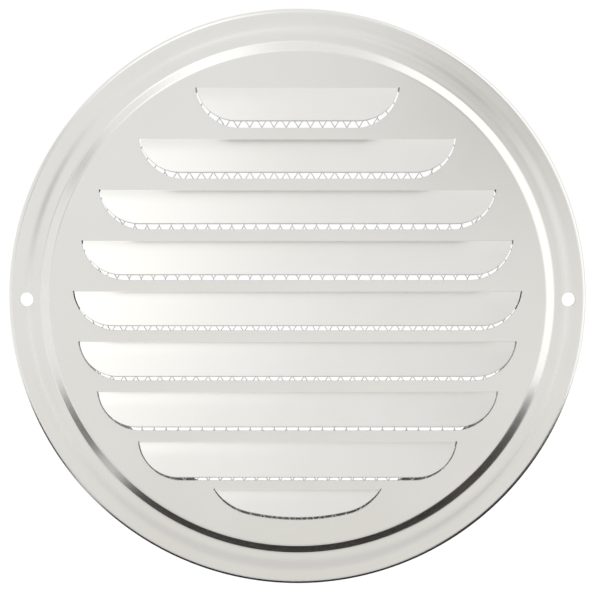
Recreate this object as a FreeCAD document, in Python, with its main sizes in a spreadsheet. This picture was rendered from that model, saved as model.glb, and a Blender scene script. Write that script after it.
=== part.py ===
"""Round vent cover: a pressed face plate with nine lanced louvres, an insect mesh and a duct collar.

The front faces -Y and +Z is up, as the cover hangs on a wall. The origin is on the axis of the
duct, in the plane of the wall. The collar runs to +Y, into the wall. Lengths are millimetres.
"""
import FreeCAD, Part
import math
import os

import Sketcher

doc = FreeCAD.newDocument("round_vent_cover")

# Driving dimensions: name, number, meaning
DIMENSIONS = (
    ("duct_diameter", 125, "bore of the duct that the collar slides into"),
    ("duct_clearance", 0.25, "gap between the collar and the duct, on the radius"),
    ("sheet_thickness", 0.6, "sheet of the face plate and of the collar"),
    ("collar_length", 34, "collar, from the front of its flange to its open end"),
    ("collar_flange_width", 5.35, "how far the collar's flange stands out from the tube"),
    ("collar_bend_radius", 0.6, "inside of the bend between tube and flange"),
    ("flange_edge_gap", 0.1, "from the edge of the collar's flange to the start of the swell"),
    ("seat_width", 0.75, "flat ring of the plate that clamps mesh and collar flange"),
    ("swell_width", 4.2, "soft S-shaped ring between the seat and the outer ring"),
    ("swell_drop", 0.5, "how far the swell falls back towards the wall"),
    ("ring_width", 1.8, "flat outer ring"),
    ("rim_radius", 1.3, "outside of the rim's bend back to the wall"),
    ("rim_depth", 3, "front of the outer ring to the wall"),
    ("step_rise", 1.66, "front of the louvred panel to the front of the seat"),
    ("step_angle", 35, "slope of the step against the panel, degrees"),
    ("crest_radius", 1.4, "outside of the bend at the top of the step"),
    ("root_radius", 1.4, "inside of the bend at the foot of the step"),
    ("screw_inset", 4.75, "from the plate's outer edge to the centre of a screw hole"),
    ("screw_hole_diameter", 3.6, "plain hole for a 3.5 mm screw"),
    ("flap_angle", 26, "how far a louvre is bent out of the panel, degrees"),
    ("slot_height", 10.15, "louvre's slot, from its hinge line to its lower edge"),
    ("cut_width", 0.45, "width of the cut between a flap's ends and the panel"),
    ("lip_gap", 0.85, "width of the cut along a flap's lip"),
    ("end_rise", 1.3, "how far above its hinge line a straight louvre's rounded ends are centred"),
    ("straight_louvres", 8, "louvres with a straight lip"),
    ("top_margin", 9.18, "top edge of the panel to the first hinge line"),
    ("bottom_margin", 26.78, "bottom edge of the panel to the last straight louvre's hinge line"),
    ("bow_margin", 14.38, "bottom edge of the panel to the bowed louvre's hinge line"),
    ("bow_inset", 6.23, "edge of the panel to the bowed lip, which runs parallel to it"),
    ("bow_end_radius", 14, "rounded ends of the bowed louvre"),
    ("bow_end_margin", 18.4, "hinge corner to the panel's edge, bowed louvre"),
    ("end_margin_1", 6.74, "hinge corner to the panel's edge, along the hinge line"),
    ("end_margin_2", 7.7, "the same for the second louvre from the top"),
    ("end_margin_3", 5.93, "third louvre"),
    ("end_margin_4", 6.19, "fourth louvre"),
    ("end_margin_5", 5.68, "fifth louvre"),
    ("end_margin_6", 6.09, "sixth louvre"),
    ("end_margin_7", 7.11, "seventh louvre"),
    ("end_margin_8", 10.47, "eighth louvre"),
    ("mesh_thickness", 0.4, "sheet of the insect mesh"),
    ("mesh_pitch", 9.375, "cell to cell along a row"),
    ("mesh_row_pitch", 8.37, "row to row"),
    ("mesh_bond", 0.9, "length of the bond where two strands meet"),
    ("strand_width", 1.0, "width of a strand"),
)

sizes = doc.addObject("Spreadsheet::Sheet", "sizes")
for row, (alias, number, meaning) in enumerate(DIMENSIONS, start=1):
    sizes.set(f"A{row}", meaning)
    sizes.set(f"B{row}", str(number))
    sizes.setAlias(f"B{row}", alias)
doc.recompute()

# Sizes that follow from the driving ones, as expressions on the sheet. Depths count from the wall.
COLLAR_RADIUS = "(sizes.duct_diameter / 2 - sizes.duct_clearance)"
FLANGE_EDGE = f"({COLLAR_RADIUS} + sizes.collar_flange_width)"
SWELL_START = f"({FLANGE_EDGE} + sizes.flange_edge_gap)"
SWELL_END = f"({SWELL_START} + sizes.swell_width)"
PLATE_RADIUS = f"({SWELL_END} + sizes.ring_width + sizes.rim_radius)"
STEP_FOOT = f"({SWELL_START} - sizes.seat_width)"
STEP_RUN = (
    "(sizes.step_rise / tan(sizes.step_angle)"
    " + (sizes.crest_radius + sizes.root_radius) * tan(sizes.step_angle / 2))"
)
PANEL_RADIUS = f"({STEP_FOOT} - {STEP_RUN})"
SCREW_RADIUS = f"({PLATE_RADIUS} - sizes.screw_inset)"
SEAT_FRONT = "(sizes.rim_depth + sizes.swell_drop)"
PANEL_FRONT = f"({SEAT_FRONT} + sizes.step_rise)"
MESH_FRONT = f"({SEAT_FRONT} - sizes.sheet_thickness)"
COLLAR_FRONT = f"({MESH_FRONT} - sizes.mesh_thickness)"
COLLAR_END = f"(sizes.collar_length - {COLLAR_FRONT})"
BOW_RADIUS = f"({PANEL_RADIUS} - sizes.bow_inset)"
BOW_HINGE = f"(sizes.bow_margin - {PANEL_RADIUS})"
LOUVRE_PITCH = (
    f"((2 * {PANEL_RADIUS} - sizes.top_margin - sizes.bottom_margin)"
    " / (sizes.straight_louvres - 1))"
)

# Points of a sketch's edges, its origin and its axes, as constraints number them
START, END, CENTRE = 1, 2, 3
ORIGIN_POINT = (-1, 1)
X_AXIS, Y_AXIS = -1, -2

NO_SWING = "0"
ON_AXIS = "0"


def measure(expression):
    """The number that an expression on the sheet gives now."""
    return float(sizes.evalExpression(expression))


def hinge_height(index):
    """Height of a straight louvre's hinge line above the axis, counted from the top."""
    return f"({PANEL_RADIUS} - sizes.top_margin - {index} * {LOUVRE_PITCH})"


def hinge_half_width(hinge, end_margin):
    """Half the length of a hinge line: the panel's half chord there, less the margin."""
    return f"(sqrt({PANEL_RADIUS} ^ 2 - {hinge} ^ 2) - sizes.{end_margin})"


def point(x, y):
    return FreeCAD.Vector(x, y, 0)


def line(start, end):
    return Part.LineSegment(point(*start), point(*end))


def arc(centre, radius, start_angle, end_angle):
    """An arc of a circle, counter-clockwise, with its angles in degrees."""
    circle = Part.Circle(point(*centre), FreeCAD.Vector(0, 0, 1), radius)
    return Part.ArcOfCircle(circle, math.radians(start_angle), math.radians(end_angle))


def origin_plane(body, role):
    return next(item for item in body.Origin.OriginFeatures if item.Role == role)


def new_sketch(body, name, role):
    sketch = body.newObject("Sketcher::SketchObject", name)
    sketch.AttachmentSupport = [(origin_plane(body, role), "")]
    sketch.MapMode = "FlatFace"
    return sketch


def constrain(sketch, kind, *references):
    sketch.addConstraint(Sketcher.Constraint(kind, *references))


def dimension(sketch, name, kind, references, expression):
    """A named dimension of a sketch, bound to the sheet."""
    index = sketch.addConstraint(Sketcher.Constraint(kind, *references, measure(expression)))
    sketch.renameConstraint(index, name)
    sketch.setExpression(f"Constraints.{name}", expression)


def bind(item, **expressions):
    for name, expression in expressions.items():
        item.setExpression(name, expression)


def pressed_section(body):
    """Half section of the plate's front, from the axis over the step and the swell to the rim."""
    panel, seat, ring = measure(PANEL_FRONT), measure(SEAT_FRONT), measure("sizes.rim_depth")
    panel_edge, foot = measure(PANEL_RADIUS), measure(STEP_FOOT)
    swell_start, swell_end, outer = measure(SWELL_START), measure(SWELL_END), measure(PLATE_RADIUS)
    crest, root, rim = (measure(f"sizes.{name}_radius") for name in ("crest", "root", "rim"))
    slope = measure("sizes.step_angle")
    lean = 2 * math.degrees(math.atan2(seat - ring, swell_end - swell_start))
    swell = (swell_end - swell_start) / 2 / math.sin(math.radians(lean))

    crest_arc = arc((panel_edge, crest - panel), crest, -90, slope - 90)
    root_arc = arc((foot, -seat - root), root, 90, 90 + slope)
    wall = Part.LineSegment(crest_arc.EndPoint, root_arc.EndPoint)
    sketch = new_sketch(body, "pressed_section", "XY_Plane")
    sketch.addGeometry([
        line((0, -panel), (panel_edge, -panel)),
        crest_arc,
        wall,
        root_arc,
        line((foot, -seat), (swell_start, -seat)),
        arc((swell_start, swell - seat), swell, -90, lean - 90),
        arc((swell_end, -ring - swell), swell, 90, 90 + lean),
        line((swell_end, -ring), (outer - rim, -ring)),
        arc((outer - rim, rim - ring), rim, -90, 0),
        line((outer, rim - ring), (outer, 0)),
        line((outer, 0), (0, 0)),
        line((0, 0), (0, -panel)),
    ])
    (panel_line, crest_bend, wall_line, root_bend, seat_line, swell_in, swell_out,
     ring_line, rim_bend, rim_line, wall_plane, axis_line) = range(12)
    for first, first_end, second, second_end in (
        (panel_line, END, crest_bend, START),
        (crest_bend, END, wall_line, START),
        (wall_line, END, root_bend, END),
        (root_bend, START, seat_line, START),
        (seat_line, END, swell_in, START),
        (swell_in, END, swell_out, END),
        (swell_out, START, ring_line, START),
        (ring_line, END, rim_bend, START),
        (rim_bend, END, rim_line, START),
    ):
        constrain(sketch, "Tangent", first, first_end, second, second_end)
    constrain(sketch, "Coincident", rim_line, END, wall_plane, START)
    constrain(sketch, "Coincident", wall_plane, END, axis_line, START)
    constrain(sketch, "Coincident", axis_line, END, panel_line, START)
    constrain(sketch, "Coincident", wall_plane, END, *ORIGIN_POINT)
    for level in (panel_line, seat_line, ring_line, wall_plane):
        constrain(sketch, "Horizontal", level)
    for upright in (rim_line, axis_line):
        constrain(sketch, "Vertical", upright)
    constrain(sketch, "Equal", swell_in, swell_out)

    dimension(sketch, "panel_front", "DistanceY", (panel_line, START, *ORIGIN_POINT), PANEL_FRONT)
    dimension(sketch, "seat_front", "DistanceY", (seat_line, START, *ORIGIN_POINT), SEAT_FRONT)
    dimension(sketch, "ring_front", "DistanceY", (ring_line, START, *ORIGIN_POINT), "sizes.rim_depth")
    dimension(sketch, "step_foot", "DistanceX", (*ORIGIN_POINT, seat_line, START), STEP_FOOT)
    dimension(sketch, "swell_start", "DistanceX", (*ORIGIN_POINT, seat_line, END), SWELL_START)
    dimension(sketch, "swell_end", "DistanceX", (*ORIGIN_POINT, ring_line, START), SWELL_END)
    dimension(sketch, "plate_radius", "DistanceX", (*ORIGIN_POINT, rim_line, END), PLATE_RADIUS)
    dimension(sketch, "panel_edge", "DistanceX", (*ORIGIN_POINT, panel_line, END), PANEL_RADIUS)
    dimension(sketch, "crest_radius", "Radius", (crest_bend,), "sizes.crest_radius")
    dimension(sketch, "root_radius", "Radius", (root_bend,), "sizes.root_radius")
    dimension(sketch, "rim_radius", "Radius", (rim_bend,), "sizes.rim_radius")
    return sketch


def revolve(body, sketch, name):
    """Turn a half section once round the Y axis."""
    feature = body.newObject("PartDesign::Revolution", name)
    feature.Profile = sketch
    feature.ReferenceAxis = (sketch, ["V_Axis"])
    feature.Angle = 360
    sketch.Visibility = False
    return feature


def pressed_shell(body):
    """The plate before its louvres are cut: the front form, hollowed to the sheet's thickness."""
    form = revolve(body, pressed_section(body), "pressed_form")
    doc.recompute()
    wall_face = max(range(len(form.Shape.Faces)), key=lambda i: form.Shape.Faces[i].CenterOfMass.y)
    shell = body.newObject("PartDesign::Thickness", "pressed_shell")
    shell.Base = (form, [f"Face{wall_face + 1}"])
    shell.Reversed = True
    shell.Join = "Arc"
    bind(shell, Value="sizes.sheet_thickness")
    doc.recompute()
    return shell


def hinge_sketch(body, name, hinge, angle):
    """A sketch on the panel's front with its X axis on a hinge line, swung out by an angle."""
    sketch = new_sketch(body, name, "XZ_Plane")
    swing = FreeCAD.Rotation(FreeCAD.Vector(-1, 0, 0), measure(angle))
    sketch.AttachmentOffset = FreeCAD.Placement(point(0, 0), swing)
    sketch.setExpression("AttachmentOffset.Base.y", hinge)
    sketch.setExpression("AttachmentOffset.Base.z", PANEL_FRONT)
    sketch.setExpression("AttachmentOffset.Rotation.Angle", angle)
    return sketch


def close_outline(sketch, hinge_line, right_end, left_end, half_width):
    """What both kinds of louvre share: a level hinge line that meets two rounded ends."""
    constrain(sketch, "Coincident", hinge_line, END, right_end, END)
    constrain(sketch, "Coincident", hinge_line, START, left_end, START)
    constrain(sketch, "Symmetric", hinge_line, START, hinge_line, END, Y_AXIS)
    constrain(sketch, "PointOnObject", hinge_line, START, X_AXIS)
    dimension(sketch, "half_width", "DistanceX", (*ORIGIN_POINT, hinge_line, END), half_width)


def straight_outline(sketch, half_width, height):
    """Louvre with a straight lip and rounded ends that meet its hinge line in pointed corners."""
    half, high, rise = measure(half_width), measure(height), measure("sizes.end_rise")
    end_size = high + rise
    corner = math.degrees(math.asin(rise / end_size))
    flat = half - end_size * math.cos(math.radians(corner))
    hinge_line, right_end, lip, left_end = range(4)
    sketch.addGeometry([
        line((-half, 0), (half, 0)),
        arc((flat, rise), end_size, -90, -corner),
        line((flat, -high), (-flat, -high)),
        arc((-flat, rise), end_size, 180 + corner, 270),
    ])
    close_outline(sketch, hinge_line, right_end, left_end, half_width)
    constrain(sketch, "Tangent", lip, START, right_end, START)
    constrain(sketch, "Tangent", lip, END, left_end, END)
    constrain(sketch, "Horizontal", lip)
    constrain(sketch, "Equal", right_end, left_end)
    dimension(sketch, "end_rise", "DistanceY", (*ORIGIN_POINT, right_end, CENTRE), "sizes.end_rise")
    dimension(sketch, "height", "DistanceY", (lip, START, *ORIGIN_POINT), height)


def bowed_outline(sketch, half_width, lip_radius):
    """Lowest louvre: its lip is an arc about the plate's axis, so that it runs beside the step."""
    half, lip_size, rise = measure(half_width), measure(lip_radius), -measure(BOW_HINGE)
    end_size = measure("sizes.bow_end_radius")
    corner_reach, centre_reach = math.hypot(half, rise), lip_size - end_size
    between = math.acos(
        (corner_reach ** 2 + centre_reach ** 2 - end_size ** 2) / (2 * corner_reach * centre_reach))
    swing = math.atan2(half, rise) - between
    side, high = centre_reach * math.sin(swing), rise - centre_reach * math.cos(swing)
    turn = math.degrees(swing) - 90
    corner = math.degrees(math.atan2(-high, half - side))
    hinge_line, right_end, lip, left_end = range(4)
    sketch.addGeometry([
        line((-half, 0), (half, 0)),
        arc((side, high), end_size, turn, corner),
        arc((0, rise), lip_size, -180 - turn, turn),
        arc((-side, high), end_size, -180 - corner, -180 - turn),
    ])
    close_outline(sketch, hinge_line, right_end, left_end, half_width)
    constrain(sketch, "Tangent", lip, END, right_end, START)
    constrain(sketch, "Tangent", lip, START, left_end, END)
    constrain(sketch, "Equal", right_end, left_end)
    constrain(sketch, "PointOnObject", lip, CENTRE, Y_AXIS)
    dimension(sketch, "end_radius", "Radius", (right_end,), "sizes.bow_end_radius")
    dimension(sketch, "rise", "DistanceY", (*ORIGIN_POINT, lip, CENTRE), f"-{BOW_HINGE}")
    dimension(sketch, "lip_radius", "Radius", (lip,), lip_radius)


def lance_louvre(body, name, hinge, half_width, outline, reach):
    """Cut one louvre's slot in the panel, then add its flap, bent out about the hinge line."""
    slot_sketch = hinge_sketch(body, f"{name}_slot_outline", hinge, NO_SWING)
    outline(slot_sketch, half_width, reach)
    slot = body.newObject("PartDesign::Pocket", f"{name}_slot")
    slot.Profile = slot_sketch
    bind(slot, Length="2 * sizes.sheet_thickness")

    flap_half_width = f"({half_width} - sizes.cut_width)"
    bend = body.newObject("PartDesign::AdditiveCylinder", f"{name}_bend")
    bend.AttachmentSupport = [(origin_plane(body, "XZ_Plane"), "")]
    bend.MapMode = "FlatFace"
    backward = FreeCAD.Vector(0, 0, -1)
    downward = FreeCAD.Vector(0, -1, 0)
    leftward = FreeCAD.Vector(-1, 0, 0)
    bend.AttachmentOffset = FreeCAD.Placement(
        point(0, 0), FreeCAD.Rotation(backward, downward, leftward, "XYZ"))
    bend.setExpression("AttachmentOffset.Base.x", flap_half_width)
    bend.setExpression("AttachmentOffset.Base.y", hinge)
    bend.setExpression("AttachmentOffset.Base.z", PANEL_FRONT)
    bind(bend, Radius="sizes.sheet_thickness", Height=f"2 * {flap_half_width}", Angle="sizes.flap_angle")

    flap_sketch = hinge_sketch(body, f"{name}_flap_outline", hinge, "sizes.flap_angle")
    outline(flap_sketch, flap_half_width, f"({reach} - sizes.lip_gap)")
    flap = body.newObject("PartDesign::Pad", f"{name}_flap")
    flap.Profile = flap_sketch
    flap.Reversed = True
    bind(flap, Length="sizes.sheet_thickness")


def drill_screw_holes(body):
    """Two plain holes through the swell, level with the axis."""
    sketch = hinge_sketch(body, "screw_hole_centres", ON_AXIS, NO_SWING)
    for index, side in enumerate((-1, 1)):
        centre = point(side * measure(SCREW_RADIUS), 0)
        radius = measure("sizes.screw_hole_diameter / 2")
        sketch.addGeometry(Part.Circle(centre, FreeCAD.Vector(0, 0, 1), radius))
        constrain(sketch, "PointOnObject", index, CENTRE, X_AXIS)
    left, right = 0, 1
    constrain(sketch, "Equal", left, right)
    dimension(sketch, "left", "DistanceX", (left, CENTRE, *ORIGIN_POINT), SCREW_RADIUS)
    dimension(sketch, "right", "DistanceX", (*ORIGIN_POINT, right, CENTRE), SCREW_RADIUS)
    dimension(sketch, "diameter", "Diameter", (left,), "sizes.screw_hole_diameter")
    holes = body.newObject("PartDesign::Pocket", "screw_holes")
    holes.Profile = sketch
    holes.Type = "ThroughAll"


def make_face_plate():
    """One pressed sheet: raised panel, step, seat, swell, ring and rim, with its louvres lanced."""
    body = doc.addObject("PartDesign::Body", "face_plate")
    pressed_shell(body)
    for index in range(int(measure("sizes.straight_louvres"))):
        hinge = hinge_height(index)
        half_width = hinge_half_width(hinge, f"end_margin_{index + 1}")
        lance_louvre(body, f"louvre_{index + 1}", hinge, half_width, straight_outline, "sizes.slot_height")
    half_width = hinge_half_width(BOW_HINGE, "bow_end_margin")
    lance_louvre(body, "bowed_louvre", BOW_HINGE, half_width, bowed_outline, BOW_RADIUS)
    drill_screw_holes(body)
    return body


def make_collar():
    """Rolled tube with its front edge turned out into a flange, which sits behind the mesh."""
    body = doc.addObject("PartDesign::Body", "collar")
    sheet, bend = measure("sizes.sheet_thickness"), measure("sizes.collar_bend_radius")
    outside, edge = measure(COLLAR_RADIUS), measure(FLANGE_EDGE)
    front, back = -measure(COLLAR_FRONT), measure(COLLAR_END)
    inside = outside - sheet
    turn = (outside + bend, front + sheet + bend)
    sketch = new_sketch(body, "collar_section", "XY_Plane")
    sketch.addGeometry([
        line((edge, front), (turn[0], front)),
        arc(turn, bend + sheet, 180, 270),
        line((inside, turn[1]), (inside, back)),
        line((inside, back), (outside, back)),
        line((outside, back), (outside, turn[1])),
        arc(turn, bend, 180, 270),
        line((turn[0], front + sheet), (edge, front + sheet)),
        line((edge, front + sheet), (edge, front)),
    ])
    (flange_front, outer_bend, tube_inside, tube_end, tube_outside, inner_bend,
     flange_back, flange_edge) = range(8)
    constrain(sketch, "Tangent", flange_front, END, outer_bend, END)
    constrain(sketch, "Tangent", outer_bend, START, tube_inside, START)
    constrain(sketch, "Tangent", tube_outside, END, inner_bend, START)
    constrain(sketch, "Tangent", inner_bend, END, flange_back, START)
    constrain(sketch, "Coincident", tube_inside, END, tube_end, START)
    constrain(sketch, "Coincident", tube_end, END, tube_outside, START)
    constrain(sketch, "Coincident", flange_back, END, flange_edge, START)
    constrain(sketch, "Coincident", flange_edge, END, flange_front, START)
    constrain(sketch, "Coincident", outer_bend, CENTRE, inner_bend, CENTRE)
    for level in (flange_front, tube_end, flange_back):
        constrain(sketch, "Horizontal", level)
    for upright in (tube_inside, tube_outside, flange_edge):
        constrain(sketch, "Vertical", upright)
    dimension(sketch, "radius", "DistanceX", (*ORIGIN_POINT, tube_end, END), COLLAR_RADIUS)
    dimension(sketch, "sheet", "DistanceX", (tube_end, START, tube_end, END), "sizes.sheet_thickness")
    dimension(sketch, "bend", "Radius", (inner_bend,), "sizes.collar_bend_radius")
    dimension(sketch, "edge", "DistanceX", (*ORIGIN_POINT, flange_edge, END), FLANGE_EDGE)
    dimension(sketch, "front", "DistanceY", (flange_edge, END, *ORIGIN_POINT), COLLAR_FRONT)
    dimension(sketch, "back", "DistanceY", (*ORIGIN_POINT, tube_end, END), COLLAR_END)
    revolve(body, sketch, "collar_sheet")
    return body


def mesh_cell(x, z):
    """One opening of the mesh: a tall six-sided cell, less half a strand all round."""
    half_pitch = measure("sizes.mesh_pitch") / 2
    row_pitch, half_bond = measure("sizes.mesh_row_pitch"), measure("sizes.mesh_bond") / 2
    corners = [
        (0, row_pitch - half_bond),
        (half_pitch, half_bond),
        (half_pitch, -half_bond),
        (0, half_bond - row_pitch),
        (-half_pitch, -half_bond),
        (-half_pitch, half_bond),
    ]
    outline = Part.makePolygon([point(x + dx, z + dz) for dx, dz in corners + corners[:1]])
    opening = outline.makeOffset2D(-measure("sizes.strand_width") / 2, join=2)
    return Part.Face(opening)


def make_insect_mesh():
    """Disc of expanded-metal mesh: rows of six-sided cells inside the rim that the flange clamps."""
    pitch, row_pitch = measure("sizes.mesh_pitch"), measure("sizes.mesh_row_pitch")
    open_radius = measure(f"{COLLAR_RADIUS} - sizes.sheet_thickness - sizes.strand_width")
    window = Part.Face(Part.Wire(Part.makeCircle(open_radius)))
    rows = math.ceil(open_radius / row_pitch)
    columns = math.ceil(open_radius / pitch)
    smallest = pitch * row_pitch / 8
    openings = []
    for row in range(-rows, rows + 1):
        shift = pitch / 2 * (row % 2)
        for column in range(-columns - 1, columns + 1):
            cell = mesh_cell(column * pitch + shift, row * row_pitch).common(window)
            openings += [face for face in cell.Faces if face.Area > smallest]
    disc = Part.Face(Part.Wire(Part.makeCircle(measure(FLANGE_EDGE))))
    sheet = disc.cut(openings).extrude(FreeCAD.Vector(0, 0, measure("sizes.mesh_thickness")))
    mesh = doc.addObject("Part::Feature", "insect_mesh")
    mesh.Shape = sheet.Solids[0]
    upright = FreeCAD.Rotation(FreeCAD.Vector(1, 0, 0), 90)
    mesh.Placement = FreeCAD.Placement(FreeCAD.Vector(0, -measure(COLLAR_FRONT), 0), upright)
    print(f"insect_mesh: {len(openings)} openings")
    return mesh


parts = [make_face_plate(), make_insect_mesh(), make_collar()]
doc.recompute()

for item in doc.Objects:
    if {"Invalid", "Error"} & set(item.State):
        raise RuntimeError(f"{item.Label} failed: {item.State}")
for part in parts:
    if part.Shape.isNull() or not part.Shape.isValid():
        raise RuntimeError(f"{part.Label} has no valid shape")

os.makedirs("parts", exist_ok=True)
for part in parts:
    part.Shape.exportStep(f"parts/{part.Label}.step")
    box = part.Shape.optimalBoundingBox()
    print(
        f"{part.Label}: {len(part.Shape.Solids)} solid, {part.Shape.Volume:.1f} mm3,"
        f" X {box.XMin:.2f}..{box.XMax:.2f} Y {box.YMin:.2f}..{box.YMax:.2f}"
        f" Z {box.ZMin:.2f}..{box.ZMax:.2f}"
    )
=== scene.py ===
# %% [markdown]
# # A round vent cover, dressed for its portrait
# The cover is three thin metal pieces: a pressed steel face plate with nine lanced louvres, an
# insect mesh behind it, and a short collar that slides into a round duct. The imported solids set
# every size and place. Here each piece is rebuilt with finer rings and softened cut edges,
# because polished steel shows every flat facet of a coarse mesh in its reflections.

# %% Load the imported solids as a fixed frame
import math

import bmesh
import bpy
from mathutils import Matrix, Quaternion, Vector


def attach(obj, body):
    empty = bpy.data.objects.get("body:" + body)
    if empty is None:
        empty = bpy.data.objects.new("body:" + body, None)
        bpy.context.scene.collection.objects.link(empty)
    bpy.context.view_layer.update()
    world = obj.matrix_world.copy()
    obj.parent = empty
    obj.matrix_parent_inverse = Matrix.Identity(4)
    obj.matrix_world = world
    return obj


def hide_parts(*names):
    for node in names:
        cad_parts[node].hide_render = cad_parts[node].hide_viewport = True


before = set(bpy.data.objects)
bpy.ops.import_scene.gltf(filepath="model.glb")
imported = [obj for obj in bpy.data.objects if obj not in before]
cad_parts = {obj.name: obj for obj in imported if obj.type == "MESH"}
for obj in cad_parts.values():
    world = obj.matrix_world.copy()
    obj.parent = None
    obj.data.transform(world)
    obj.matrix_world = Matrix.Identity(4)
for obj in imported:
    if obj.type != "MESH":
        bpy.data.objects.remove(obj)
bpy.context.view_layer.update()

# %% [markdown]
# ## Rings and skins
# Everything round on this cover could be made with Blender's Screw modifier, but the louvres
# and the screw holes have to join the same mesh. So the rings are laid by hand: a section is a
# list of points (radius, depth), each point is spun into a ring of vertices about the duct's
# axis (Y), and neighbouring rings are skinned with quads.

# %% Helpers that spin a section and skin its rings
MM = 0.001
ROUND = 384
SHARP_ANGLE = math.radians(32)
FLATS_WEIGHT = 100


def spin(mesh, section):
    """One ring of vertices for each (radius, depth) point of the section."""
    rings = []
    for radius, depth in section:
        ring = []
        for step in range(ROUND):
            angle = 2 * math.pi * step / ROUND
            ring.append(mesh.verts.new((radius * math.cos(angle), depth, radius * math.sin(angle))))
        rings.append(ring)
    return rings


def skin(mesh, loop, next_loop, closed=True, finish=0, skip=()):
    """Quads between two loops of the same length."""
    count = len(loop)
    for here in range(count if closed else count - 1):
        if here in skip:
            continue
        there = (here + 1) % count
        face = mesh.faces.new((loop[here], loop[there], next_loop[there], next_loop[here]))
        face.material_index = finish


def new_sheet():
    """An empty mesh whose edges can say how much they are softened."""
    mesh = bmesh.new()
    mesh.edges.layers.float.new("bevel_weight_edge")
    return mesh


def soften_along(mesh, loop, share):
    """The edges along these vertices get this share of the piece's edge softening."""
    weight = mesh.edges.layers.float["bevel_weight_edge"]
    for here, there in zip(loop, loop[1:]):
        mesh.edges.get((here, there))[weight] = share


def piece_from(mesh, name, edge_softening, plain_share=1.0, segments=2):
    """Turns the mesh into an object with softened cut edges and clean shading on its flats."""
    bmesh.ops.recalc_face_normals(mesh, faces=mesh.faces)
    weight = mesh.edges.layers.float["bevel_weight_edge"]
    for edge in mesh.edges:
        if not edge[weight] and edge.calc_face_angle(0.0) > SHARP_ANGLE:
            edge[weight] = plain_share
    for face in mesh.faces:
        face.smooth = True
    data = bpy.data.meshes.new(name)
    mesh.to_mesh(data)
    mesh.free()
    piece = bpy.data.objects.new(name, data)
    bpy.context.collection.objects.link(piece)
    soften = piece.modifiers.new("softened cut edges", "BEVEL")
    soften.width = edge_softening
    soften.segments = segments
    soften.limit_method = "WEIGHT"
    flats = piece.modifiers.new("flats lead the shading", "WEIGHTED_NORMAL")
    flats.weight = FLATS_WEIGHT
    print(name, "has", len(data.polygons), "faces before its edges are softened")
    return piece


# %% [markdown]
# ## The pressed section of the face plate
# One press stroke turns a flat blank into a raised panel, a sloped step, a narrow seat, a soft
# swell and a rounded rim. The section is walked like a path: straight runs and bends, each point
# keeping the tilt of the sheet. The back of the sheet is the same walk, one sheet thickness
# behind, so the plate has the same thickness everywhere.

# %% Walk the section from the panel's edge to the wall
SHEET = 0.6 * MM
PANEL_EDGE = 63.6965 * MM
PANEL_FRONT = -5.16 * MM
SEAT_FRONT = -3.5 * MM
RING_FRONT = -3.0 * MM
STEP_TILT = math.radians(35)
CREST_BEND = 1.4 * MM
ROOT_BEND = 1.4 * MM
SEAT_WIDTH = 0.75 * MM
SWELL_WIDTH = 4.2 * MM
RING_WIDTH = 1.8 * MM
RIM_BEND = 1.3 * MM


def run(path, length, parts=1):
    radius, depth, tilt = path[-1]
    for part in range(1, parts + 1):
        far = length * part / parts
        path.append((radius + far * math.cos(tilt), depth + far * math.sin(tilt), tilt))


def bend(path, tilt_end, bend_radius, parts):
    radius, depth, tilt = path[-1]
    turn = bend_radius if tilt_end > tilt else -bend_radius
    for part in range(1, parts + 1):
        now = tilt + (tilt_end - tilt) * part / parts
        out = turn * (math.sin(now) - math.sin(tilt))
        back = -turn * (math.cos(now) - math.cos(tilt))
        path.append((radius + out, depth + back, now))


step_drop = SEAT_FRONT - PANEL_FRONT
bends_drop = (CREST_BEND + ROOT_BEND) * (1 - math.cos(STEP_TILT))
swell_tilt = 2 * math.atan((RING_FRONT - SEAT_FRONT) / SWELL_WIDTH)
swell_bend = SWELL_WIDTH / 2 / math.sin(swell_tilt)

path = [(PANEL_EDGE, PANEL_FRONT, 0.0)]
bend(path, STEP_TILT, CREST_BEND, 10)
run(path, (step_drop - bends_drop) / math.sin(STEP_TILT), 2)
bend(path, 0.0, ROOT_BEND, 8)
run(path, SEAT_WIDTH)
swell_start = len(path) - 1
bend(path, swell_tilt, swell_bend, 8)
bend(path, 0.0, swell_bend, 8)
run(path, RING_WIDTH, 3)
swell_end = len(path) - 2
bend(path, math.pi / 2, RIM_BEND, 12)
run(path, -path[-1][1], 2)

front_section = [(radius, depth) for radius, depth, tilt in path]
back_section = [
    (radius - SHEET * math.sin(tilt), depth + SHEET * math.cos(tilt)) for radius, depth, tilt in path
]
print("section points:", len(path), "rim radius mm:", round(path[-1][0] / MM, 3))

# %% [markdown]
# ## Screw holes in the swell
# Two plain round holes sit left and right in the swell. A Boolean would leave slivers in the
# shading, so a window of quads is left out around each hole, and loops blend from the window's
# square edge to the hole's circle while they stay on the pressed surface.

# %% Helper that fills a window with loops round a screw hole
SCREW_SPACING = 140.5 * MM
SCREW_HOLE = 3.6 * MM
WINDOW_HALF = 3
LOOP_SHARES = (0.75, 0.5, 0.25, 0.08, 0.0)
EDGE_FINISH = 1


def depth_on(section, radius):
    """Depth of the section at a radius, between the swell's start and its end."""
    for inner, outer in zip(section[swell_start:], section[swell_start + 1:]):
        if radius <= outer[0]:
            share = (radius - inner[0]) / (outer[0] - inner[0])
            return inner[1] + share * (outer[1] - inner[1])
    return section[-1][1]


def window_columns(middle):
    return [(middle + offset) % ROUND for offset in range(-WINDOW_HALF, WINDOW_HALF + 1)]


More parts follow.
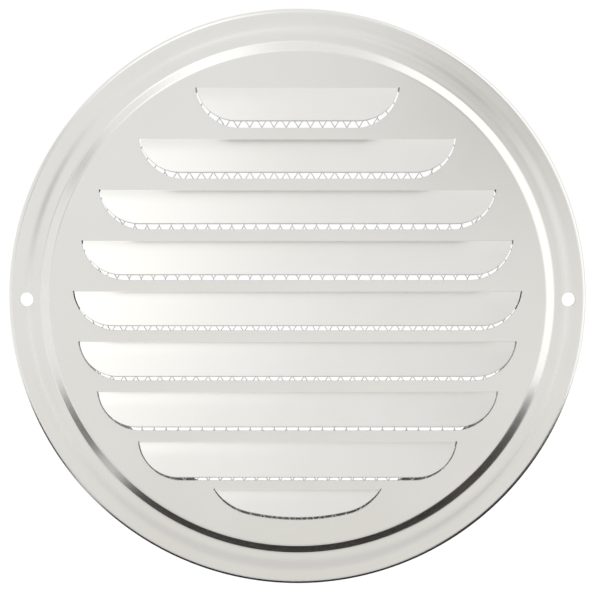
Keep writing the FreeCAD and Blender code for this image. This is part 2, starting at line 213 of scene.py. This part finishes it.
def hole_in_window(mesh, rings, section, middle):
    """Fills the window in these rings and returns the hole's own circle of vertices."""
    columns = window_columns(middle)
    window = [rings[swell_start][column] for column in columns]
    window += [rings[row][columns[-1]] for row in range(swell_start + 1, swell_end)]
    window += [rings[swell_end][column] for column in reversed(columns)]
    window += [rings[row][columns[0]] for row in range(swell_end - 1, swell_start, -1)]
    centre = SCREW_SPACING / 2 * math.cos(2 * math.pi * middle / ROUND)
    outer = window
    for share in LOOP_SHARES:
        inner = []
        for corner in window:
            far = Vector((corner.co.x - centre, corner.co.z))
            spot = (far.normalized() * SCREW_HOLE / 2).lerp(far, share)
            x, z = centre + spot.x, spot.y
            inner.append(mesh.verts.new((x, depth_on(section, math.hypot(x, z)), z)))
        skin(mesh, outer, inner)
        outer = inner
    return outer


# %% [markdown]
# ## Louvres
# A louvre is not a separate slat. The press cuts a slot along three sides and folds the flap out
# along the fourth, so the flap hangs on a bend in the same sheet. Eight slots have a straight
# lip and rounded ends. The lowest one follows the round of the plate. The flap is the slot's own
# outline less the width of the cut, turned about the hinge line. The punch bends it a little
# further at the hinge, and that curl catches the shade of the louvre above. Its ends are rounded.

# %% Outlines of slots and flaps
SLOT_HEIGHT = 10.15 * MM
CUT_WIDTH = 0.45 * MM
LIP_GAP = 0.85 * MM
END_RISE = 1.3 * MM
FLAP_ANGLE = math.radians(26)
HINGE_BEND = 0.5 * MM
HINGE_PARTS = 6
END_PARTS = 36
LIP_SHARE = 0.12
BOW_PARTS = 30
TOP_HINGE = PANEL_EDGE - 9.18 * MM
LAST_HINGE = 26.78 * MM - PANEL_EDGE
BOWED_HINGE = 14.38 * MM - PANEL_EDGE
BOWED_RADIUS = PANEL_EDGE - 6.23 * MM
BOWED_END = 14.0 * MM
END_MARGINS = (6.74, 7.7, 5.93, 6.19, 5.68, 6.09, 7.11, 10.47)
BOWED_MARGIN = 18.4


def half_chord(height, margin):
    """Half the hinge's length: the panel's half chord at that height less a margin in mm."""
    return math.sqrt(PANEL_EDGE ** 2 - height ** 2) - margin * MM


def straight_outline(half, height):
    """(across, down) points from the right hinge corner round the lip to the left one."""
    end = height + END_RISE
    corner = math.asin(END_RISE / end)
    middle = half - end * math.cos(corner)
    turns = [corner + (math.pi / 2 - corner) * part / END_PARTS for part in range(END_PARTS + 1)]
    right = [(middle + end * math.cos(turn), end * math.sin(turn) - END_RISE) for turn in turns]
    return right + [(-across, down) for across, down in reversed(right)]


def bowed_outline(half, lip):
    """The same for the lowest louvre, whose lip is an arc of this radius about the plate's axis."""
    drop = -BOWED_HINGE
    far, near = math.hypot(half, drop), lip - BOWED_END
    between = math.acos((far ** 2 + near ** 2 - BOWED_END ** 2) / (2 * far * near))
    meet = math.atan2(half, drop) - between
    middle, rise = near * math.sin(meet), drop - near * math.cos(meet)
    corner = math.asin(rise / BOWED_END)
    sweep = math.pi / 2 - meet - corner
    turns = [corner + sweep * part / END_PARTS for part in range(END_PARTS + 1)]
    right = [(middle + BOWED_END * math.cos(turn), BOWED_END * math.sin(turn) - rise) for turn in turns]
    leans = [meet * (1 - 2 * part / BOW_PARTS) for part in range(1, BOW_PARTS)]
    bow = [(lip * math.sin(lean), lip * math.cos(lean) - drop) for lean in leans]
    return right + bow + [(-across, down) for across, down in reversed(right)]


# %% [markdown]
# ## How a flap stands out
# Seen from the side, the flap leaves the hinge steeply and runs straight to its lip. A flat
# flap would reach the same lip, but it would lack the shaded line under each hinge. So the
# curl is a short arc, and the straight part leans a little less to keep the lip in its place.

# %% The flap's side view
FLAP_CURL = math.radians(4.5)
CURL_REACH = 4.0 * MM
flap_tilt = FLAP_ANGLE - FLAP_CURL * CURL_REACH / 2 / (SLOT_HEIGHT - LIP_GAP)
hinge_tilt = flap_tilt + FLAP_CURL


def flap_place(down):
    """(out, fall, tilt) of the flap's front this far down from the hinge: steep first, then flat."""
    curled = min(down, CURL_REACH)
    rate = -FLAP_CURL / CURL_REACH
    tilt = hinge_tilt + rate * curled
    out = (math.cos(hinge_tilt) - math.cos(tilt)) / rate + (down - curled) * math.sin(flap_tilt)
    fall = (math.sin(tilt) - math.sin(hinge_tilt)) / rate + (down - curled) * math.cos(flap_tilt)
    return out, fall, tilt


print("lip stands out mm:", round(flap_place(SLOT_HEIGHT - LIP_GAP)[0] / MM, 3))

# %% [markdown]
# ## Cutting a slot and folding its flap
# The slot's walls, the bend and the flap share their vertices, so the sheet stays one closed
# skin. Separate slats laid over slots would be simpler, but light would leak at the hinges.

# %% Helpers that cut one slot and fold its flap out
def fill_crosswise(mesh, loop):
    """Fills a mirrored outline with strips from side to side, so that it can follow a curve."""
    for step in range((len(loop) - 1) // 2):
        strip = [loop[step], loop[step + 1], loop[-2 - step], loop[-1 - step]]
        mesh.faces.new(list(dict.fromkeys(strip)))


def lance_louvre(mesh, hinge, half, outline, reach):
    """Adds a slot's walls and its flap. Returns the slot's loops on the panel's front and back."""
    tangent = HINGE_BEND * math.tan(hinge_tilt / 2)
    flap_half = half - CUT_WIDTH
    cut = [(flap_half, -tangent), (half, -tangent)] + outline(half, reach)
    cut += [(-half, -tangent), (-flap_half, -tangent)]
    front = [mesh.verts.new((across, PANEL_FRONT, hinge - down)) for across, down in cut]
    back = [mesh.verts.new((across, PANEL_FRONT + SHEET, hinge - down)) for across, down in cut]
    skin(mesh, front, back, closed=False, finish=EDGE_FINISH)

    rows = [(front[-1], front[0], back[-1], back[0])]
    centre_depth = PANEL_FRONT - HINGE_BEND
    centre_height = hinge + tangent
    for part in range(1, HINGE_PARTS + 1):
        turn = hinge_tilt * part / HINGE_PARTS
        row = []
        for radius in (HINGE_BEND, HINGE_BEND + SHEET):
            depth = centre_depth + radius * math.cos(turn)
            height = centre_height - radius * math.sin(turn)
            row += [mesh.verts.new((side * flap_half, depth, height)) for side in (-1, 1)]
        rows.append(tuple(row))
    for row, lower in zip(rows, rows[1:]):
        mesh.faces.new((row[0], row[1], lower[1], lower[0]))
        mesh.faces.new((row[2], row[3], lower[3], lower[2]))
        for near, far in ((0, 2), (1, 3)):
            side = mesh.faces.new((row[near], row[far], lower[far], lower[near]))
            side.material_index = EDGE_FINISH

    flap_front = [rows[-1][1]]
    flap_back = [rows[-1][3]]
    for across, down in outline(flap_half, reach - LIP_GAP)[1:-1]:
        out, fall, tilt = flap_place(down)
        spot = Vector((across, PANEL_FRONT - out, hinge - fall))
        through = Vector((0, math.cos(tilt), -math.sin(tilt))) * SHEET
        flap_front.append(mesh.verts.new(spot))
        flap_back.append(mesh.verts.new(spot + through))
    flap_front.append(rows[-1][0])
    flap_back.append(rows[-1][2])
    skin(mesh, flap_front, flap_back, closed=False, finish=EDGE_FINISH)
    soften_along(mesh, flap_front[:END_PARTS + 1], 1.0)
    soften_along(mesh, flap_front[END_PARTS:-END_PARTS], LIP_SHARE)
    soften_along(mesh, flap_front[-END_PARTS - 1:], 1.0)
    fill_crosswise(mesh, flap_front)
    fill_crosswise(mesh, flap_back)
    return front, back


# %% [markdown]
# ## The face plate
# Now the pieces of the plate meet in one closed mesh: spun rings with two windows for the screw
# holes, nine louvres, and the flat panel itself. The panel is a disc with nine slots in it, and
# Blender's triangle fill takes its outline and its holes in one go. It is flat, so its triangles
# never show.

# %% Build the face plate
PLATE_SOFTENING = 0.28 * MM
PLAIN_EDGE_SHARE = 0.2


def fill_flat(mesh, loops):
    """Triangles over a flat outline with holes."""
    edges = []
    for loop in loops:
        for here, there in zip(loop, loop[1:] + loop[:1]):
            edges.append(mesh.edges.get((here, there)) or mesh.edges.new((here, there)))
    bmesh.ops.triangle_fill(mesh, use_beauty=True, edges=edges, normal=(0, -1, 0))


plate = new_sheet()
hole_middles = (0, ROUND // 2)
window = {column for middle in hole_middles for column in window_columns(middle)[:-1]}
hole_circles = {middle: [] for middle in hole_middles}
shells = []
for section in (front_section, back_section):
    rings = spin(plate, section)
    for row in range(len(rings) - 1):
        gap = window if swell_start <= row < swell_end else ()
        skin(plate, rings[row], rings[row + 1], skip=gap)
    for middle in hole_middles:
        hole_circles[middle].append(hole_in_window(plate, rings, section, middle))
    shells.append(rings)
for front_circle, back_circle in hole_circles.values():
    skin(plate, front_circle, back_circle, finish=EDGE_FINISH)
skin(plate, shells[0][-1], shells[1][-1], finish=EDGE_FINISH)

slots = []
for number, margin in enumerate(END_MARGINS):
    hinge = TOP_HINGE + (LAST_HINGE - TOP_HINGE) * number / (len(END_MARGINS) - 1)
    half = half_chord(hinge, margin)
    slots.append(lance_louvre(plate, hinge, half, straight_outline, SLOT_HEIGHT))
half = half_chord(BOWED_HINGE, BOWED_MARGIN)
slots.append(lance_louvre(plate, BOWED_HINGE, half, bowed_outline, BOWED_RADIUS))
for side in (0, 1):
    fill_flat(plate, [shells[side][0]] + [slot[side] for slot in slots])
print("open edges in the plate:", sum(not edge.is_manifold for edge in plate.edges))

face_plate = piece_from(plate, "pressed_face_plate", PLATE_SOFTENING, PLAIN_EDGE_SHARE)
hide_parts("face_plate")
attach(face_plate, "root")

# %% [markdown]
# ## The collar
# The collar is a short rolled tube with a flange turned out at the plate's end. Its section is a
# closed outline, so spinning it and skinning the last ring back to the first closes the tube.

# %% Build the collar
COLLAR_OUTSIDE = 62.25 * MM
FLANGE_FRONT = -2.5 * MM
FLANGE_EDGE = 67.6 * MM
COLLAR_END = 31.5 * MM
COLLAR_BEND = 0.6 * MM
COLLAR_BEND_PARTS = 8
COLLAR_SOFTENING = 0.06 * MM


def collar_bend(radius):
    """Points of the flange bend from the flange towards the tube."""
    centre = (COLLAR_OUTSIDE + COLLAR_BEND, FLANGE_FRONT + SHEET + COLLAR_BEND)
    points = []
    for part in range(COLLAR_BEND_PARTS + 1):
        turn = math.pi / 2 * part / COLLAR_BEND_PARTS
        points.append((centre[0] - radius * math.sin(turn), centre[1] - radius * math.cos(turn)))
    return points


inside = [(FLANGE_EDGE, FLANGE_FRONT)] + collar_bend(COLLAR_BEND + SHEET)
inside += [(COLLAR_OUTSIDE - SHEET, COLLAR_END * share) for share in (0.3, 0.7, 1.0)]
outside = [(COLLAR_OUTSIDE, COLLAR_END * share) for share in (1.0, 0.7, 0.3)]
outside += collar_bend(COLLAR_BEND)[::-1] + [(FLANGE_EDGE, FLANGE_FRONT + SHEET)]
tube = new_sheet()
rings = spin(tube, inside + outside)
for ring, next_ring in zip(rings, rings[1:] + rings[:1]):
    skin(tube, ring, next_ring)
print("open edges in the collar:", sum(not edge.is_manifold for edge in tube.edges))
collar = piece_from(tube, "duct_collar", COLLAR_SOFTENING)
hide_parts("collar")
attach(collar, "root")

# %% [markdown]
# ## The insect mesh
# The mesh is flattened expanded metal: a thin sheet is slit in rows and pulled, which opens it
# into tall six-sided cells. The solid keeps a coarse stand-in for it, and here it gets its real
# fine pitch. An image of a mesh with see-through gaps would be lighter, but it would have no
# thickness. So each cell is a ring of six strand halves, neighbours share their outer corners,
# and merging them makes one net. A flat hem closes it at the edge.

# %% Build the insect mesh
CELL_PITCH = 3.132 * MM
CELL_ROW = 2.79 * MM
CELL_BOND = 0.3 * MM
STRAND = 0.19 * MM
NET_FRONT = -2.9 * MM
NET_BACK = -2.5 * MM
NET_EDGE = 67.6 * MM
NET_HEM = 60.65 * MM
NET_SHIFT = (1.78 * MM, -0.32 * MM)
NET_SOFTENING = 0.04 * MM
MERGE_WITHIN = 0.01 * MM


def cell_corners(inset):
    """Six corners of a cell, moved inwards by half a strand or not at all."""
    tip = CELL_ROW - CELL_BOND / 2
    slope = math.atan2(CELL_ROW - CELL_BOND, CELL_PITCH / 2)
    side = CELL_PITCH / 2 - inset
    tip_in = tip - inset / math.cos(slope)
    knee = tip_in - side * math.tan(slope)
    return [(0, tip_in), (side, knee), (side, -knee), (0, -tip_in), (-side, -knee), (-side, knee)]


net = new_sheet()
rows_out = math.ceil(NET_EDGE / CELL_ROW) + 1
columns_out = math.ceil(NET_EDGE / CELL_PITCH) + 1
cells = 0
for row in range(-rows_out, rows_out + 1):
    for column in range(-columns_out, columns_out + 1):
        x = NET_SHIFT[0] + (column + 0.5 * (row % 2)) * CELL_PITCH
        z = NET_SHIFT[1] + row * CELL_ROW
        if math.hypot(x, z) > NET_HEM + 0.5 * CELL_ROW:
            continue
        cells += 1
        loops = []
        for inset in (0.0, STRAND / 2):
            for depth in (NET_FRONT, NET_BACK):
                loops.append([net.verts.new((x + dx, depth, z + dz)) for dx, dz in cell_corners(inset)])
        skin(net, loops[0], loops[2])
        skin(net, loops[2], loops[3])
        skin(net, loops[3], loops[1])
bmesh.ops.remove_doubles(net, verts=net.verts, dist=MERGE_WITHIN)
hem_section = [(NET_HEM, NET_FRONT), (NET_HEM, NET_BACK), (NET_EDGE, NET_BACK), (NET_EDGE, NET_FRONT)]
hem = spin(net, hem_section)
for ring, next_ring in zip(hem, hem[1:] + hem[:1]):
    skin(net, ring, next_ring)
print("cells in the insect mesh:", cells)
insect_mesh = piece_from(net, "expanded_insect_mesh", NET_SOFTENING, segments=1)
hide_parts("insect_mesh")
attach(insect_mesh, "root")

# %% [markdown]
# ## Finishes shared by the three metals
# Rolled and polished sheet is never perfectly even: there are cloudy patches from polishing,
# faint lines along the rolling direction, and hair scratches from handling. One node group gives
# all three as plain values, so each metal can use them with its own strength.

# %% Node group with haze, rolling lines and hair scratches
def link_chain(tree, *pairs):
    for source, target in pairs:
        tree.links.new(source, target)


def make_sheet_marks():
    """Group with three values over the surface: Haze, Lines and Scratches."""
    group = bpy.data.node_groups.new("sheet_marks", "ShaderNodeTree")
    for name, default in (("Haze Scale", 35.0), ("Line Scale", 900.0)):
        socket = group.interface.new_socket(name, in_out="INPUT", socket_type="NodeSocketFloat")
        socket.default_value = default
    for name in ("Haze", "Lines", "Scratches"):
        group.interface.new_socket(name, in_out="OUTPUT", socket_type="NodeSocketFloat")
    nodes = group.nodes
    given = nodes.new("NodeGroupInput")
    result = nodes.new("NodeGroupOutput")
    place = nodes.new("ShaderNodeTexCoord")

    haze = nodes.new("ShaderNodeTexNoise")
    haze.inputs["Detail"].default_value = 4.0
    haze.inputs["Roughness"].default_value = 0.6

    stretch = nodes.new("ShaderNodeMapping")
    stretch.inputs["Scale"].default_value = (0.02, 1.0, 1.0)
    lines = nodes.new("ShaderNodeTexNoise")
    lines.inputs["Detail"].default_value = 3.0

    lay = nodes.new("ShaderNodeMapping")
    lay.inputs["Rotation"].default_value = (0.0, 0.6, 0.0)
    lay.inputs["Scale"].default_value = (0.06, 1.0, 1.0)
    hair = nodes.new("ShaderNodeTexNoise")
    hair.inputs["Scale"].default_value = 420.0
    hair.inputs["Detail"].default_value = 2.0
    thin = nodes.new("ShaderNodeMapRange")
    thin.interpolation_type = "SMOOTHSTEP"
    thin.inputs["From Min"].default_value = 0.66
    thin.inputs["From Max"].default_value = 0.74

    link_chain(
        group,
        (place.outputs["Object"], haze.inputs["Vector"]),
        (given.outputs["Haze Scale"], haze.inputs["Scale"]),
        (haze.outputs["Fac"], result.inputs["Haze"]),
        (place.outputs["Object"], stretch.inputs["Vector"]),
        (stretch.outputs["Vector"], lines.inputs["Vector"]),
        (given.outputs["Line Scale"], lines.inputs["Scale"]),
        (lines.outputs["Fac"], result.inputs["Lines"]),
        (place.outputs["Object"], lay.inputs["Vector"]),
        (lay.outputs["Vector"], hair.inputs["Vector"]),
        (hair.outputs["Fac"], thin.inputs["Value"]),
        (thin.outputs["Result"], result.inputs["Scratches"]),
    )
    return group


SHEET_MARKS = make_sheet_marks()
print("shared finish:", [item.name for item in SHEET_MARKS.interface.items_tree])

# %% [markdown]
# ## One recipe for sheet metal
# A metal is a Principled shader with Metallic at 1. Its colour drifts a little between two tones
# with the haze, its roughness follows haze and scratches, and a very shallow bump comes from the
# rolling lines. A shallow bump matters: on polished steel a strong one would break up the
# reflections. The plate's roughness stays in a narrow range, because a wider one showed the
# outlines of the haze in the render.

# %% Function that makes a sheet metal
def sheet_metal(name, light_tone, dark_tone, smooth, rough, bump, haze_scale=35.0, line_scale=900.0):
    material = bpy.data.materials.new(name)
    material.use_nodes = True
    tree = material.node_tree
    shader = tree.nodes["Principled BSDF"]
    shader.inputs["Metallic"].default_value = 1.0
    marks = tree.nodes.new("ShaderNodeGroup")
    marks.node_tree = SHEET_MARKS
    marks.inputs["Haze Scale"].default_value = haze_scale
    marks.inputs["Line Scale"].default_value = line_scale

    tones = tree.nodes.new("ShaderNodeValToRGB")
    tones.color_ramp.elements[0].position = 0.35
    tones.color_ramp.elements[0].color = (*dark_tone, 1.0)
    tones.color_ramp.elements[1].position = 0.65
    tones.color_ramp.elements[1].color = (*light_tone, 1.0)

    gloss = tree.nodes.new("ShaderNodeMapRange")
    gloss.inputs["From Min"].default_value = 0.3
    gloss.inputs["From Max"].default_value = 0.7
    gloss.inputs["To Min"].default_value = smooth
    gloss.inputs["To Max"].default_value = rough
    scuffed = tree.nodes.new("ShaderNodeMath")
    scuffed.operation = "MULTIPLY_ADD"
    scuffed.inputs[1].default_value = 0.2 * (rough - smooth)

    relief = tree.nodes.new("ShaderNodeBump")
    relief.inputs["Strength"].default_value = bump
    relief.inputs["Distance"].default_value = 0.02 * MM
    link_chain(
        tree,
        (marks.outputs["Haze"], tones.inputs["Fac"]),
        (tones.outputs["Color"], shader.inputs["Base Color"]),
        (marks.outputs["Haze"], gloss.inputs["Value"]),
        (marks.outputs["Scratches"], scuffed.inputs[0]),
        (gloss.outputs["Result"], scuffed.inputs[2]),
        (scuffed.outputs["Value"], shader.inputs["Roughness"]),
        (marks.outputs["Lines"], relief.inputs["Height"]),
        (relief.outputs["Normal"], shader.inputs["Normal"]),
    )
    return material


polished_steel = sheet_metal("polished_steel", (0.785, 0.78, 0.75), (0.765, 0.757, 0.725), 0.235, 0.265, 0.05)
sheared_edge = sheet_metal("sheared_edge", (0.90, 0.89, 0.87), (0.82, 0.81, 0.79), 0.55, 0.65, 0.4)
rolled_collar = sheet_metal("rolled_collar", (0.64, 0.63, 0.61), (0.56, 0.55, 0.53), 0.12, 0.2, 0.3)
mesh_metal = sheet_metal("mesh_metal", (0.93, 0.93, 0.92), (0.87, 0.87, 0.86), 0.5, 0.6, 0.3)
for piece, finishes in (
    (face_plate, (polished_steel, sheared_edge)),
    (collar, (rolled_collar,)),
    (insect_mesh, (mesh_metal,)),
):
    for finish in finishes:
        piece.data.materials.append(finish)
print("finishes:", [material.name for material in bpy.data.materials if material.use_nodes])

# %% [markdown]
# ## Floor and white surroundings
# Polished metal has hardly any colour of its own: it shows the room. The room here is a plain
# white world. Camera, glossy and transmission rays see it at strength 1, which is white, and the
# light that it sheds is a little lower. The floor lies below the plate and keeps its shadow.

# %% World and floor
def ray_is(tree, *kinds):
    """1 for rays of these kinds, else 0."""
    light_path = tree.nodes.new("ShaderNodeLightPath")
    total = light_path.outputs[kinds[0]]
    for kind in kinds[1:]:
        either = tree.nodes.new("ShaderNodeMath")
        either.operation = "MAXIMUM"
        link_chain(tree, (total, either.inputs[0]), (light_path.outputs[kind], either.inputs[1]))
        total = either.outputs["Value"]
    return total


SEEN_RAYS = ("Is Camera Ray", "Is Glossy Ray", "Is Transmission Ray")
world = bpy.data.worlds.new("white_studio")
bpy.context.scene.world = world
world.use_nodes = True
background = world.node_tree.nodes["Background"]
background.inputs["Color"].default_value = (1.0, 1.0, 1.0, 1.0)
level = world.node_tree.nodes.new("ShaderNodeMapRange")
level.inputs["To Min"].default_value = 0.8
level.inputs["To Max"].default_value = 1.0
link_chain(
    world.node_tree,
    (ray_is(world.node_tree, *SEEN_RAYS), level.inputs["Value"]),
    (level.outputs["Result"], background.inputs["Strength"]),
)

FLOOR_HEIGHT = -0.30
floor_mesh = bmesh.new()
bmesh.ops.create_grid(floor_mesh, x_segments=2, y_segments=2, size=6.0)
floor_data = bpy.data.meshes.new("pale_floor")
floor_mesh.to_mesh(floor_data)
floor_mesh.free()
floor = bpy.data.objects.new("pale_floor", floor_data)
floor.location.z = FLOOR_HEIGHT
bpy.context.collection.objects.link(floor)
paint = bpy.data.materials.new("pale_floor_paint")
paint.use_nodes = True
paint_shader = paint.node_tree.nodes["Principled BSDF"]
paint_shader.inputs["Base Color"].default_value = (0.85, 0.85, 0.85, 1.0)
paint_shader.inputs["Roughness"].default_value = 0.9
paint_shader.inputs["Emission Color"].default_value = (1.0, 1.0, 1.0, 1.0)
glow = paint.node_tree.nodes.new("ShaderNodeMath")
glow.operation = "MULTIPLY"
glow.inputs[1].default_value = 0.34
link_chain(
    paint.node_tree,
    (ray_is(paint.node_tree, *SEEN_RAYS), glow.inputs[0]),
    (glow.outputs["Value"], paint_shader.inputs["Emission Strength"]),
)
floor_data.materials.append(paint)
print("floor at", FLOOR_HEIGHT, "m")

# %% [markdown]
# ## Studio cards
# A photographer shapes polished metal with cards: white ones for bright faces, grey and black
# ones for edges. Each card here is a flat sheet with soft edges that only reflections see, so it
# sheds no light and throws no shadow. Its strength is how bright it looks, with 1 the same as
# the white room.

# %% Cards round the cover
def studio_card(name, centre, aim, size, strength, soft=0.5, tint=(1.0, 1.0, 1.0), roll=0.0):
    """A soft-edged card of this size in metres, turned towards aim and rolled by degrees."""
    sheet = bmesh.new()
    bmesh.ops.create_grid(sheet, x_segments=1, y_segments=1, size=1.0)
    data = bpy.data.meshes.new(name)
    sheet.to_mesh(data)
    sheet.free()
    card = bpy.data.objects.new(name, data)
    bpy.context.collection.objects.link(card)
    card.location = centre
    card.scale = (size[0] / 2, size[1] / 2, 1.0)
    facing = (Vector(aim) - Vector(centre)).to_track_quat("Z", "Y")
    card.rotation_euler = (facing @ Quaternion((0, 0, 1), math.radians(roll))).to_euler()
    for ray in ("camera", "diffuse", "transmission", "volume_scatter", "shadow"):
        setattr(card, "visible_" + ray, False)

    material = bpy.data.materials.new(name + "_glow")
    material.use_nodes = True
    tree = material.node_tree
    tree.nodes.remove(tree.nodes["Principled BSDF"])
    place = tree.nodes.new("ShaderNodeTexCoord")
    split = tree.nodes.new("ShaderNodeSeparateXYZ")
    link_chain(tree, (place.outputs["Object"], split.inputs["Vector"]))
    fades = []
    for axis in ("X", "Y"):
        size_now = tree.nodes.new("ShaderNodeMath")
        size_now.operation = "ABSOLUTE"
        fade = tree.nodes.new("ShaderNodeMapRange")
        fade.interpolation_type = "SMOOTHSTEP"
        fade.inputs["From Min"].default_value = 1.0
        fade.inputs["From Max"].default_value = 1.0 - soft
        link_chain(
            tree,
            (split.outputs[axis], size_now.inputs[0]),
            (size_now.outputs["Value"], fade.inputs["Value"]),
        )
        fades.append(fade.outputs["Result"])
    cover = tree.nodes.new("ShaderNodeMath")
    cover.operation = "MULTIPLY"
    lit = tree.nodes.new("ShaderNodeEmission")
    lit.inputs["Strength"].default_value = strength
    lit.inputs["Color"].default_value = (*tint, 1.0)
    clear = tree.nodes.new("ShaderNodeBsdfTransparent")
    mix = tree.nodes.new("ShaderNodeMixShader")
    link_chain(
        tree,
        (fades[0], cover.inputs[0]),
        (fades[1], cover.inputs[1]),
        (cover.outputs["Value"], mix.inputs["Fac"]),
        (clear.outputs["BSDF"], mix.inputs[1]),
        (lit.outputs["Emission"], mix.inputs[2]),
        (mix.outputs["Shader"], tree.nodes["Material Output"].inputs["Surface"]),
    )
    data.materials.append(material)
    return card


MIDDLE = (0.0, 0.0, 0.0)
WARM_DARK = (1.0, 0.85, 0.75)
WARM_GREY = (1.0, 0.985, 0.95)
cards = [
    studio_card("front_grey_card", (0.0, -0.55, 0.06), (0.0, 0.0, 0.06), (0.95, 0.72), 0.955, 0.2),
    studio_card("front_shade", (0.15, -0.50, 0.095), MIDDLE, (0.30, 0.30), 0.55, 1.0, WARM_GREY),
    studio_card("front_low_shade", (0.0, -0.50, -0.22), (0.0, 0.0, -0.22), (0.9, 0.26), 0.88, 0.7, WARM_GREY),
    studio_card("swell_shade_right", (0.235, -0.40, 0.25), MIDDLE, (0.28, 0.28), 0.5, 0.8, WARM_GREY),
    studio_card("swell_shade_left", (-0.32, -0.37, 0.09), MIDDLE, (0.18, 0.2), 0.45, 0.8, WARM_GREY),
    studio_card("overhead_box", (-0.39, -0.66, 0.74), MIDDLE, (0.8, 0.5), 1.62, 0.5),
    studio_card("overhead_shade", (0.30, -0.66, 0.74), MIDDLE, (0.7, 0.5), 0.92, 0.5),
    studio_card("right_box", (0.46, -0.11, 0.166), MIDDLE, (0.38, 1.1), 1.36, 0.12),
    studio_card("left_box", (-0.29, -0.22, 0.71), MIDDLE, (0.28, 0.5), 1.45, 0.5),
    studio_card("left_grey_card", (-0.68, -0.19, 0.36), MIDDLE, (0.5, 0.22), 0.68, 0.6),
    studio_card("table_card", (0.0, -0.30, -0.28), (0.0, -0.30, 0.0), (1.0, 0.42), 0.78, 0.4),
    studio_card("black_table_flag", (0.0, 0.18, -0.26), (0.0, 0.18, 0.0), (1.1, 0.6), 0.02, 0.1, WARM_DARK),
    studio_card("low_left_card", (-0.245, 0.0, -0.245), (-0.245, 0.0, 0.0), (0.09, 0.4), 0.8, 0.5),
    studio_card(
        "low_right_flag", (0.30, -0.20, -0.255), (0.30, -0.20, 0.0), (0.42, 0.2), 0.06, 0.2, WARM_DARK, -35
    ),
    studio_card("back_flag", (0.0, 0.25, 0.005), (0.0, 0.0, 0.005), (0.12, 0.066), 0.02, 0.06, WARM_DARK),
]
print("studio cards:", [card.name for card in cards])

# %% [markdown]
# ## Camera
# The photograph looks almost straight at the plate from a little above, close enough that the
# louvres' lips spread slightly, and still shows the rim as a true circle. That is a lens shift,
# and a small one takes up part of the tilt here. The view angle makes the rim as wide in the
# frame as it is in the photograph, and the picture is square.

# %% Camera at the photograph's place
CAMERA_DISTANCE = 0.40
CAMERA_ELEVATION = math.radians(5.5)
LENS_SHIFT = 0.10
FRAME_AT_RIM = 0.1547
AIM = Vector((0.0, -0.002, 0.0004))
camera_data = bpy.data.cameras.new("photo_camera")
camera = bpy.data.objects.new("photo_camera", camera_data)
bpy.context.collection.objects.link(camera)
back_off = Vector((0.0, -math.cos(CAMERA_ELEVATION), math.sin(CAMERA_ELEVATION)))
camera.location = AIM + back_off * CAMERA_DISTANCE
saved_tilt = math.atan(LENS_SHIFT * FRAME_AT_RIM / CAMERA_DISTANCE)
camera.rotation_euler = (math.pi / 2 - CAMERA_ELEVATION + saved_tilt, 0.0, 0.0)
camera_data.shift_y = -LENS_SHIFT
camera_data.sensor_width = 36.0
camera_data.angle = 2 * math.atan(FRAME_AT_RIM / 2 / CAMERA_DISTANCE / math.cos(saved_tilt))
bpy.context.scene.camera = camera
bpy.context.scene.view_settings.view_transform = "Standard"
print("camera at", tuple(round(part, 4) for part in camera.location))
